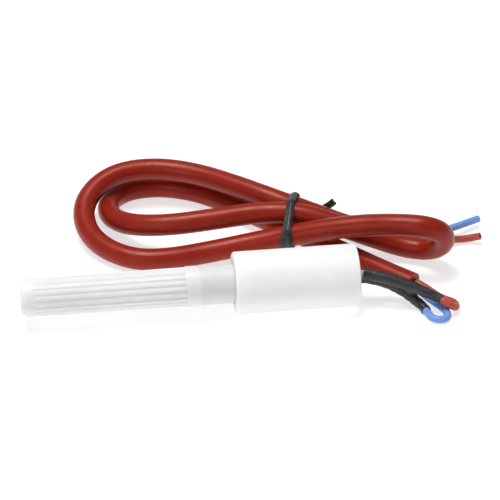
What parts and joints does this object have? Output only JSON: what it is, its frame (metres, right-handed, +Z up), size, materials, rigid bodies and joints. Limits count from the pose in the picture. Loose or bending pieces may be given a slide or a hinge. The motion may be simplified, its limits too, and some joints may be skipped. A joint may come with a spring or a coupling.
{
  "type": "flame sensor probe",
  "caption": "Ribbed ceramic rod probe cemented into a plain ceramic collar, with spliced leads and a tied hank of two-core silicone cable.",
  "frame": {"origin": "on the surface the collar rests on, below the middle of the rigid probe", "axes": "+X along the rod from its tip to the cable side, +Y behind, +Z up"},
  "size_m": [0.1392, 0.0828, 0.0206],
  "materials": {
    "rod_ceramic": "fired white, slightly translucent, satin",
    "collar_ceramic": "fired white, plain, satin",
    "former_ceramic": "fired, matte",
    "cement": "matte refractory cement",
    "powder": "packed powder, matte",
    "seal_glass": "fused glass",
    "element_wire": "oxidised resistance wire",
    "nickel": "nickel",
    "barrel_metal": "tinned",
    "copper": "bare stranded copper",
    "glass_sleeve": "woven glass sleeve",
    "jacket_silicone": "red-brown silicone, satin",
    "brown_silicone": "red-brown silicone, satin",
    "blue_silicone": "blue silicone, satin",
    "shrink_black": "black heat-shrink tube, low sheen, wrinkled",
    "tie_black": "black coated wire tie"
  },
  "bodies": {
    "root": {"ribbed_sheath": "rod_ceramic", "collar": "collar_ceramic", "collar_cement": "cement", "element_winding": "element_wire", "element_former": "former_ceramic", "powder_fill": "powder", "terminal_pin_a": "nickel", "terminal_pin_b": "nickel", "glass_seal": "seal_glass", "pin_connector_a": "barrel_metal", "pin_connector_b": "barrel_metal", "rear_potting": "cement", "cable_jacket": "jacket_silicone", "lead_conductor_a": "copper", "lead_conductor_b": "copper", "lead_sleeve_a": "glass_sleeve", "lead_sleeve_b": "glass_sleeve", "splice_crimp_a": "barrel_metal", "splice_crimp_b": "barrel_metal", "brown_copper": "copper", "blue_copper": "copper", "brown_core": "brown_silicone", "blue_core": "blue_silicone", "shrink_tube_a": "shrink_black", "shrink_tube_b": "shrink_black", "tail_core_brown": "brown_silicone", "tail_core_blue": "blue_silicone", "tail_copper_brown": "copper", "tail_copper_blue": "copper", "twist_tie": "tie_black"}
  },
  "joints": []
}
